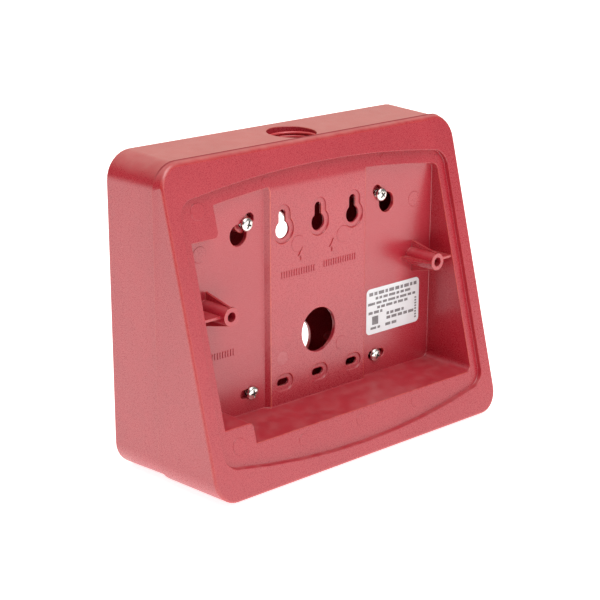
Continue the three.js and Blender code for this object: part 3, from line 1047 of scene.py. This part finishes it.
# ---- Wedge housing -------------------------------------------------------------------------------------
@dataclass(frozen=True)
class Pad:
    """A round mark that an ejector pin left: its middle, its radius and the plane that it is on."""

    x: float
    z: float
    radius: float
    plane: Plane


@dataclass
class WedgeHousing:
    """The front moulding, with the marks that its mould left in it.

    Attributes:
        rim_round: rounding of the face's outer edge.
        easing: rounding of every other edge.
        brace_easing: rounding on the pillars' thin ribs.
        pad_height: how far an ejector mark stands up.
        frost_height: how far the frosted one does.
        pad_sink: how far their middles lie inside the plane.
        pad_lip: size of the fine lip round them.
        arrow_half_w: half the width of a moulded arrow's head.
        arrow_head_h: height of its head.
        arrow_stem_half_w: half the width of its stem.
        arrow_stem_h: height of its stem.
        arrow_rise: how far it stands up.
        arrow_easing: rounding of its edges.
        tick_h: height of the tick rows.
        tick_w: width of a tick.
        tick_pitch: spacing of the ticks.
        tick_rise: how far they stand up.
        tick_taper: width of a tick's top, as a share of its foot.
    """

    rim_round: float = 1.3 * MM
    easing: float = 0.35 * MM
    brace_easing: float = 0.14 * MM
    pad_height: float = 0.2 * MM
    frost_height: float = 0.06 * MM
    pad_sink: float = 0.02 * MM
    pad_lip: float = 0.045
    arrow_half_w: float = 2.7 * MM
    arrow_head_h: float = 4.2 * MM
    arrow_stem_half_w: float = 1.1 * MM
    arrow_stem_h: float = 2.4 * MM
    arrow_rise: float = 0.45 * MM
    arrow_easing: float = 0.08 * MM
    tick_h: float = 3.6 * MM
    tick_w: float = 0.45 * MM
    tick_pitch: float = 1.6 * MM
    tick_rise: float = 0.16 * MM
    tick_taper: float = 0.7

    @staticmethod
    def on_rim(edge: bmesh.types.BMEdge) -> bool:
        """Whether an edge runs round the outside of the front face.

        Args:
            edge: the edge.

        Returns:
            True on the rim.
        """
        square_on = 0.999
        faces = edge.link_faces
        middle = (edge.verts[0].co + edge.verts[1].co) / 2
        near = all(FACE.distance(vert.co) < TOUCH for vert in edge.verts)
        outward = Vector((middle.x, 0.0, middle.z))
        fronts = [face for face in faces if face.normal.dot(FACE.facing) > square_on]
        sides = [face for face in faces if face not in fronts]
        return near and len(fronts) == 1 and all(face.normal.dot(outward) > 0 for face in sides)

    @staticmethod
    def on_brace(edge: bmesh.types.BMEdge) -> bool:
        """Whether an edge belongs to a pillar or its ribs.

        Args:
            edge: the edge.

        Returns:
            True where it does.
        """
        pillar_x = WEDGE_HIGH.x - SIZES.pillar_inset
        reach = SIZES.brace_reach
        to_wall, hair = 16 * MM, 0.01 * MM

        def near(point: Vector) -> bool:
            """Whether a point is in a pillar's zone, out to the cavity's wall."""
            return (pillar_x - reach < abs(point.x) < pillar_x + to_wall
                    and abs(point.z - SIZES.pillar_z) < reach and point.y < SIDE_PANEL.y0 + hair)

        return all(near(vert.co) for vert in edge.verts)

    def shell(self, plastic: bpy.types.Material) -> None:
        """Makes the moulding itself.

        Args:
            plastic: its material.
        """
        form = clean_copy("wedge_housing")
        ease(form, [
            Easing(self.rim_round, 5, self.on_rim, band=0.35),
            Easing(self.easing, 3, lambda edge: not self.on_brace(edge)),
            Easing(self.brace_easing, 2, self.on_brace),
        ])
        piece = place_piece("wedge_moulding", to_mesh("wedge_moulding", form))
        piece.data.materials.append(plastic)
        weight_normals(piece)
        settle(piece, Slot.PLASTIC, "wedge_housing")

    @staticmethod
    def pads() -> list[Pad]:
        """Every ejector mark: on the middle panel, the side panels and the ledge.

        Returns:
            The marks.
        """
        rows = [  # each mark's x, z and radius, in millimetres
            (MIDDLE_PANEL, [(-13.9, 26.4, 4.2), (15.8, 26.0, 4.2), (15.1, -29.4, 3.6)]),
            (SIDE_PANEL, [(-72.0, 31.0, 4.0), (68.4, 34.4, 4.0)]),
            (LEDGE, [(-75.1, 52.1, 4.1), (-33.0, 58.9, 2.4), (2.1, 58.4, 2.4), (45.0, 59.0, 2.4),
                     (82.2, 53.8, 2.0), (-37.0, -58.5, 3.0), (0.6, -58.4, 3.0), (38.5, -58.2, 3.0),
                     (-75.1, -52.0, 4.1), (83.4, -55.3, 2.0)]),
        ]
        return [Pad(x * MM, z * MM, r * MM, plane) for plane, marks in rows for x, z, r in marks]

    def ejector_marks(self, name: str, pads: list[Pad], height: float, plastic: bpy.types.Material) -> None:
        """Raises a low pad at each ejector mark.

        Args:
            name: the piece's name.
            pads: the marks.
            height: how far they stand up.
            plastic: their material.
        """
        places = [pad.plane.point(pad.x, pad.z) - pad.plane.facing * self.pad_sink for pad in pads]
        radii, facings = [pad.radius for pad in pads], [pad.plane.facing for pad in pads]
        points = point_mesh(places, size=radii, facing=facings)
        piece = grow(name, points, TREES.pads, {"Height": height, "Lip": self.pad_lip, "Material": plastic})
        settle(piece, Slot.PLASTIC)

    def arrows(self, plastic: bpy.types.Material) -> None:
        """Raises the two arrows that point to the top.

        Args:
            plastic: their material.
        """
        middles = [Vector((-11.0, 0.0, 20.2)) * MM, Vector((9.5, 0.0, 20.9)) * MM]
        head, stem = self.arrow_half_w, self.arrow_stem_half_w
        outline = [(0.0, self.arrow_head_h), (-head, 0.0), (-stem, 0.0), (-stem, -self.arrow_stem_h),
                   (stem, -self.arrow_stem_h), (stem, 0.0), (head, 0.0)]
        form = bmesh.new()
        for middle in middles:
            corners = [form.verts.new(MIDDLE_PANEL.point(middle.x + x, middle.z + z)) for x, z in outline]
            base = form.faces.new(corners)
            raised = bmesh.ops.extrude_face_region(form, geom=[base])["geom"]
            tops = [item for item in raised if isinstance(item, bmesh.types.BMVert)]
            bmesh.ops.translate(form, verts=tops, vec=MIDDLE_PANEL.facing * self.arrow_rise)
        bmesh.ops.recalc_face_normals(form, faces=form.faces)
        ease(form, [Easing(self.arrow_easing, 2, lambda edge: True)])
        piece = place_piece("moulded_arrows", to_mesh("moulded_arrows", form))
        piece.data.materials.append(plastic)
        weight_normals(piece)
        settle(piece, Slot.PLASTIC)

    def tick_row(self, name: str, start: float, end: float, z: float, plane: Plane,
                 plastic: bpy.types.Material) -> None:
        """Raises a row of plain upright ticks.

        Args:
            name: the piece's name.
            start: x of the first tick.
            end: x that the row stops before.
            z: height of its middle.
            plane: the plane that it is on.
            plastic: its material.
        """
        count = int((end - start) / self.tick_pitch)
        places = [plane.point(start + step * self.tick_pitch, z) for step in range(count)]
        sizes = [Vector((self.tick_w, 2 * self.tick_rise, self.tick_h))] * count
        points = point_mesh(places, size=sizes)
        piece = grow(name, points, TREES.strokes, {"Taper": self.tick_taper, "Material": plastic})
        settle(piece, Slot.PLASTIC)

    def build(self, plastic: bpy.types.Material, frosted: bpy.types.Material) -> None:
        """Builds the moulding and its marks.

        Args:
            plastic: the moulding's material.
            frosted: the material of the one frosted mark.
        """
        self.shell(plastic)
        self.ejector_marks("ejector_marks", self.pads(), self.pad_height, plastic)
        frost = [Pad(-24.0 * MM, -28.7 * MM, 3.6 * MM, MIDDLE_PANEL)]
        self.ejector_marks("frosted_mark", frost, self.frost_height, frosted)
        self.arrows(plastic)
        self.tick_row("tick_row_left", -24.2 * MM, -0.6 * MM, 12.6 * MM, MIDDLE_PANEL, plastic)
        self.tick_row("tick_row_right", 3.4 * MM, 25.8 * MM, 13.2 * MM, MIDDLE_PANEL, plastic)
        self.tick_row("tick_row_side", -67.0 * MM, -50.0 * MM, -19.5 * MM, SIDE_PANEL, plastic)


# ---- Back box ------------------------------------------------------------------------------------------
@dataclass
class BackBox:
    """The rear moulding, with the thread in its conduit entry.

    Attributes:
        easing: rounding of its edges.
        pitch: the thread's pitch.
        ridge: half the width of the thread's ridge.
        lead_in: how far below the mouth the thread starts.
    """

    easing: float = 0.4 * MM
    pitch: float = 1.814 * MM
    ridge: float = 0.76 * MM
    lead_in: float = 0.9 * MM

    def shell(self, plastic: bpy.types.Material) -> None:
        """Makes the moulding itself.

        Args:
            plastic: its material.
        """
        form = clean_copy("back_box")
        ease(form, [Easing(self.easing, 3, lambda edge: True)])
        piece = place_piece("back_box_moulding", to_mesh("back_box_moulding", form))
        piece.data.materials.append(plastic)
        weight_normals(piece)
        settle(piece, Slot.PLASTIC, "back_box")

    def conduit_thread(self, plastic: bpy.types.Material) -> None:
        """Winds the thread up inside the conduit entry.

        Args:
            plastic: its material, the housing's red plastic painted brighter as painted light inside the
                conduit.
        """
        middle = opening_centre("conduit_entry")
        foot = FACE_TOP_Z - SIZES.hub_length + self.ridge
        top = FACE_TOP_Z - self.lead_in
        place = Vector((middle.x, middle.y, foot))
        piece = grow("conduit_thread", bpy.data.meshes.new("seed"), TREES.thread, {
            "Place": place, "Radius": SIZES.conduit_r, "Pitch": self.pitch, "Ridge": self.ridge,
            "Turns": (top - foot) / self.pitch, "Material": plastic})
        settle(piece, Slot.PLASTIC)

    def build(self, plastic: bpy.types.Material, thread: bpy.types.Material) -> None:
        """Builds the moulding and its thread, each in its own material: the thread's is the same red plastic
        painted brighter, as painted light inside the conduit.
        """
        self.shell(plastic)
        self.conduit_thread(thread)


# ---- Screws --------------------------------------------------------------------------------------------
@dataclass
class Screws:
    """The four pan-head screws.

    Attributes:
        head_r: radius of the head.
        head_h: height of the head.
        core_r: radius of the shank between threads.
        shank_r: radius over the thread.
        pitch: the thread's pitch.
        tip_h: length of the pointed tip.
        drive_half: half the length of one slot of the drive, at its top.
        drive_t: width of a slot, at its top.
        drive_depth: depth of the drive.
        drive_clear: how far the cutter stands out of the head.
        thread_start: seat to the thread's start.
        thread_short: how much of the shank the thread leaves plain.
    """

    head_r: float = 3.4 * MM
    head_h: float = 2.0 * MM
    core_r: float = 1.35 * MM
    shank_r: float = 1.74 * MM
    pitch: float = 1.27 * MM
    tip_h: float = 1.8 * MM
    drive_half: float = 1.95 * MM
    drive_t: float = 0.95 * MM
    drive_depth: float = 1.5 * MM
    drive_clear: float = 0.5 * MM
    thread_start: float = 0.8 * MM
    thread_short: float = 1.2 * MM

    def profile(self, length: float) -> list[tuple[float, float]]:
        """The blank's outline as radius and height, from the top of its head to its tip.

        Args:
            length: head to tip.

        Returns:
            The outline's points. The seat is at height 0 and the tip is above it.
        """
        crown = [(0.0, 1.0), (0.3, 0.985), (0.55, 0.93), (0.75, 0.83), (0.89, 0.68), (0.97, 0.48),
                 (1.0, 0.26), (0.99, 0.06), (0.96, 0.0)]
        head = [(self.head_r * r, -self.head_h * h) for r, h in crown]
        point_r, point_h = 0.35 * self.core_r, 0.2 * MM
        shank = [(self.core_r, 0.0), (self.core_r, length - self.tip_h), (point_r, length - point_h),
                 (0.0, length)]
        return head + shank

    def blank(self, length: float) -> bmesh.types.BMesh:
        """A screw without its drive and thread, along Z with its head below the origin.

        Args:
            length: head to tip.

        Returns:
            The form.
        """
        form = bmesh.new()
        points = [form.verts.new((r, 0.0, z)) for r, z in self.profile(length)]
        edges = [form.edges.new(pair) for pair in zip(points, points[1:])]
        bmesh.ops.spin(form, geom=[*points, *edges], cent=(0, 0, 0), axis=(0, 0, 1), angle=2 * math.pi,
                       steps=48, use_merge=True)
        bmesh.ops.remove_doubles(form, verts=form.verts, dist=WELD_REACH)
        bmesh.ops.recalc_face_normals(form, faces=form.faces)
        return form

    def drive(self) -> bmesh.types.BMesh:
        """The cross that is cut into the head: two tapering blades.

        Returns:
            The form to cut with.
        """
        form = bmesh.new()
        top = -self.head_h - self.drive_clear
        bottom = -self.head_h + self.drive_depth
        for turn in (0.0, math.pi / 2):
            rotation = Matrix.Rotation(turn, 3, "Z")
            mouth = (top, self.drive_half * 1.2, self.drive_t * 1.15)
            foot = (bottom, self.drive_half * 0.42, self.drive_t * 0.55)
            corners = [form.verts.new(rotation @ Vector((sx * half, sy * thick / 2, z)))
                       for z, half, thick in (mouth, foot) for sx in (-1, 1) for sy in (-1, 1)]
            bmesh.ops.convex_hull(form, input=corners)
        bmesh.ops.recalc_face_normals(form, faces=form.faces)
        return form

    def body(self, length: float) -> bpy.types.Mesh:
        """The blank with its drive cut in and the drive's faces marked.

        Args:
            length: head to tip.

        Returns:
            The mesh.
        """
        whole = place_piece("blank", to_mesh("blank", self.blank(length)))
        cutter = place_piece("cutter", to_mesh("cutter", self.drive(), smooth=False))
        modifier = whole.modifiers.new("drive", "BOOLEAN")
        modifier.object = cutter
        modifier.operation = "DIFFERENCE"
        modifier.solver = "EXACT"
        modifier.use_self = True
        mesh = bpy.data.meshes.new_from_object(whole.evaluated_get(bpy.context.evaluated_depsgraph_get()))
        for spent in (whole, cutter):
            bpy.data.objects.remove(spent)
        marks = mesh.attributes.new(RECESS, "FLOAT", "FACE")
        crown_share, outward_tilt = 0.93, -0.55

        def in_drive(face: bpy.types.MeshPolygon) -> bool:
            """Whether a face is a wall or the floor of the drive."""
            sunk = -self.head_h * crown_share < face.center.z < 0
            return face.center.xy.length < self.drive_half and sunk and face.normal.z >= outward_tilt

        marks.data.foreach_set("value", [float(in_drive(face)) for face in mesh.polygons])
        return mesh

    def build(self, steel: bpy.types.Material) -> None:
        """Puts a screw where the frame has each one, each stopped at its own angle.

        Args:
            steel: their material.
        """
        names = ("screw_upper_left", "screw_upper_right", "screw_lower_left", "screw_lower_right")
        first_angle, next_angle = 20, 31
        for turn, name in enumerate(names):
            low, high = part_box(name)
            seat = low.y + self.head_h
            length = high.y - seat
            place = Vector(((low.x + high.x) / 2, seat, (low.z + high.z) / 2))
            turns = (length - self.tip_h - self.thread_short) / self.pitch
            piece = grow(name + "_plated", self.body(length), TREES.screw, {
                "Place": place, "Spin": math.radians(first_angle + next_angle * turn), "Radius": self.core_r,
                "Pitch": self.pitch, "Turns": turns, "Ridge": self.shank_r - self.core_r,
                "Start": self.thread_start, "Material": steel})
            settle(piece, Slot.STEEL, name)


# ---- Rating label --------------------------------------------------------------------------------------
@dataclass
class RatingLabel:
    """The label, with plain bars where print would be.

    Attributes:
        thickness: of the film.
        lift: film's back to the panel.
        ink_rise: how far the print stands on the film.
        word: range of a bar's length.
        space: between two bars.
        easing: rounding of the film's edges.
        seed: for the bars' lengths.
    """

    thickness: float = 0.16 * MM
    lift: float = 0.03 * MM
    ink_rise: float = 0.012 * MM
    word: tuple[float, float] = (1.6 * MM, 5.2 * MM)
    space: float = 0.9 * MM
    easing: float = 0.05 * MM
    seed: int = 7

    @property
    def front(self) -> float:
        """y of the film's front."""
        return SIDE_PANEL.y0 - self.lift - self.thickness

    def film(self, material: bpy.types.Material) -> None:
        """Makes the film from the frame's label, thinner and closer to the panel.

        Args:
            material: its material.
        """
        form = clean_copy("rating_label")
        for vert in form.verts:
            forwards = vert.co.y < (LABEL_LOW.y + LABEL_HIGH.y) / 2
            vert.co.y = self.front if forwards else self.front + self.thickness
        ease(form, [Easing(self.easing, 2, lambda edge: True)])
        piece = place_piece("label_film", to_mesh("label_film", form))
        piece.data.materials.append(material)
        weight_normals(piece)
        settle(piece, Slot.FILM, "rating_label")

    def bars(self) -> tuple[list[Vector], list[Vector]]:
        """Where the printed bars go and how big each is.

        Returns:
            The bars' middles and their sizes.
        """
        dice = random.Random(self.seed)
        width, height = LABEL_HIGH.x - LABEL_LOW.x, LABEL_HIGH.z - LABEL_LOW.z
        # Each row's start, end and distance down, as shares of the label, and its height in millimetres.
        rows = [(0.05, 0.95, 0.12, 1.75), (0.17, 0.83, 0.23, 1.35), (0.03, 0.95, 0.335, 1.3),
                (0.2, 0.78, 0.435, 1.35), (0.04, 0.3, 0.53, 1.45), (0.38, 0.71, 0.62, 1.5),
                (0.38, 0.9, 0.72, 1.5), (0.08, 0.26, 0.87, 1.25), (0.36, 0.58, 0.86, 1.5)]
        places, sizes = [], []

        def add(x: float, z: float, size_x: float, size_z: float) -> None:
            """Adds one bar by its middle."""
            places.append(Vector((x, self.front, z)))
            sizes.append(Vector((size_x, 2 * self.ink_rise, size_z)))

        for start, end, down, size in rows:
            x, stop = LABEL_LOW.x + start * width, LABEL_LOW.x + end * width
            while x < stop - self.word[0] / 2:
                length = min(dice.uniform(*self.word), stop - x)
                add(x + length / 2, LABEL_HIGH.z - down * height, length, size * MM)
                x += length + self.space
        column_x, first_z, step_z, bar_w, bar_h = 0.935, 0.12, 0.062, 1.3 * MM, 0.9 * MM
        for step in range(8):
            up = first_z + step_z * step
            add(LABEL_LOW.x + column_x * width, LABEL_LOW.z + up * height, bar_w, bar_h)
        square_x, square_z, square = 0.165, 0.295, 4.4 * MM
        add(LABEL_LOW.x + square_x * width, LABEL_LOW.z + square_z * height, square, square)
        return places, sizes

    def build(self, film: bpy.types.Material, ink: bpy.types.Material) -> None:
        """Builds the film and its print.

        Args:
            film: the film's material.
            ink: the print's material.
        """
        self.film(film)
        places, sizes = self.bars()
        points = point_mesh(places, size=sizes)
        piece = grow("label_print", points, TREES.strokes, {"Taper": 1.0, "Material": ink})
        settle(piece, Slot.FILM)


# ---- Studio --------------------------------------------------------------------------------------------
@dataclass(frozen=True)
class Lamp:
    """A square soft light that shines at the housing.

    Attributes:
        name: the light's name.
        place: where it hangs.
        size: its side.
        power: in watts.
    """

    name: str
    place: Place
    size: float
    power: float

    def hang(self) -> None:
        """Puts the light in the scene."""
        light = bpy.data.lights.new(self.name, "AREA")
        light.energy = self.power
        light.size = self.size
        lamp = bpy.data.objects.new(self.name, light)
        lamp.location = self.place
        lamp.rotation_mode = "QUATERNION"
        lamp.rotation_quaternion = Vector(self.place).to_track_quat("Z", "Y")
        bpy.context.scene.collection.objects.link(lamp)


@dataclass
class Studio:
    """Floor, light and camera.

    Attributes:
        lens: the camera's focal length, in millimetres.
        azimuth: degrees from straight ahead, to the right.
        elevation: degrees above the horizon.
        camera_place: where the camera is.
        floor_half: half the floor's width.
        sky_behind: strength of the light behind the housing.
        sky_front: strength of the light in front of it.
        sky_horizon: strength of the light low in front of it.
        sky_zenith: strength of the light overhead.
        sky_left: share of the light that is left low on the left.
        tint_behind: colour of the light behind the housing.
        tint_front: colour of the light in front of it.
        lamps: the lamps.
    """

    lens: float = 99.06
    azimuth: float = -42.94
    elevation: float = 16.85
    camera_place: Place = (-0.5277, -0.5919, 0.2272)
    floor_half: float = 6.0
    sky_behind: float = 1.02
    sky_front: float = 0.2
    sky_horizon: float = 1.8
    sky_zenith: float = 1.2
    sky_left: float = 0.1
    tint_behind: Colour = (1.0, 0.84, 0.71)
    tint_front: Colour = (1.0, 0.975, 0.95)
    lamps: tuple[Lamp, ...] = (Lamp("key", (-0.25, -0.5, 1.4), size=1.0, power=8.5),
                               Lamp("fill", (-0.1, -1.5, 1.2), size=1.2, power=6.5))

    def camera(self) -> None:
        """Places the camera."""
        around, up = math.radians(self.azimuth), math.radians(self.elevation)
        back = Vector((math.sin(around) * math.cos(up), -math.cos(around) * math.cos(up), math.sin(up)))
        camera = bpy.data.objects.new("camera", bpy.data.cameras.new("camera"))
        camera.data.lens = self.lens
        camera.rotation_mode = "QUATERNION"
        camera.rotation_quaternion = back.to_track_quat("Z", "Y")
        camera.location = self.camera_place
        bpy.context.scene.collection.objects.link(camera)
        bpy.context.scene.camera = camera

    def floor(self) -> None:
        """Lays the floor that the housing's lower side stands on."""
        half, z = self.floor_half, CAD_LOW.z
        mesh = bpy.data.meshes.new("studio_floor")
        corners = [(-half, -half, z), (half, -half, z), (half, half, z), (-half, half, z)]
        mesh.from_pydata(corners, [], [(0, 1, 2, 3)])
        mesh.materials.append(StudioFloor("studio_floor").material())
        place_piece("studio_floor", mesh)

    def sky(self) -> None:
        """Surrounds the housing with soft light whose strength and tint change with its direction."""
        right_range, horizon_range = (0.55, 0.75), (0.05, 0.3)
        behind_range, left_range = (-0.25, 0.45), (-0.6, 0.1)
        low_range, overhead_range = (0.3, 0.75), (0.6, 0.95)
        world = bpy.data.worlds.new("soft_sky")
        world.use_nodes = True
        wires = Wiring(world.node_tree)
        towards = wires.node("ShaderNodeTexCoord").outputs["Generated"]
        parts = wires.node("ShaderNodeSeparateXYZ", {0: towards}).outputs
        low = wires.remap(parts["X"], right_range, (self.sky_horizon, self.sky_front))
        front = wires.remap(parts["Z"], horizon_range, FULL)
        front = wires.blend(front, low, self.sky_front)
        backwards = wires.remap(parts["Y"], behind_range, FULL)
        strength = wires.blend(backwards, front, self.sky_behind)
        leftwards = wires.remap(parts["X"], left_range, (self.sky_left, 1.0))
        lowness = wires.remap(parts["Z"], low_range, INVERTED)
        strength = wires.math("MULTIPLY", strength, wires.blend(lowness, 1.0, leftwards))
        overhead = wires.remap(parts["Z"], overhead_range, FULL)
        strength = wires.blend(overhead, strength, self.sky_zenith)
        tint = wires.mix(backwards, opaque(self.tint_front), opaque(self.tint_behind))
        background = world.node_tree.nodes["Background"]
        wires.feed(background.inputs["Color"], tint)
        wires.feed(background.inputs["Strength"], strength)
        bpy.context.scene.world = world

    def build(self) -> None:
        """Sets up the whole studio."""
        self.camera()
        self.floor()
        self.sky()
        for lamp in self.lamps:
            lamp.hang()
        bpy.context.scene.view_settings.view_transform = "Standard"


def main() -> None:
    """Builds every sub-assembly in order."""
    logging.basicConfig(level=logging.INFO, format="%(name)s: %(message)s")
    plastic = MouldedPlastic("red_plastic").material()
    frosted = MouldedPlastic("frosted_plastic", colour=(0.42, 0.03, 0.045), speck_colour=(0.58, 0.2, 0.21),
                             grain_size=0.9 * MM, roughness=0.32).material()
    # Painted light: the conduit's thread is the housing's own red plastic, painted brighter to stand in for
    # the light that reaches into the conduit.
    thread = MouldedPlastic("thread_plastic_painted_light", colour=(0.74, 0.06, 0.075),
                            flow_colour=(0.78, 0.07, 0.085)).material()
    Studio().build()
    WedgeHousing().build(plastic, frosted)
    BackBox().build(plastic, thread)
    Screws().build(PlatedSteel("nickel_plate").material())
    RatingLabel().build(PrintedFilm("label_film").material(), Ink("label_ink").material())


if __name__ == "__main__":
    main()
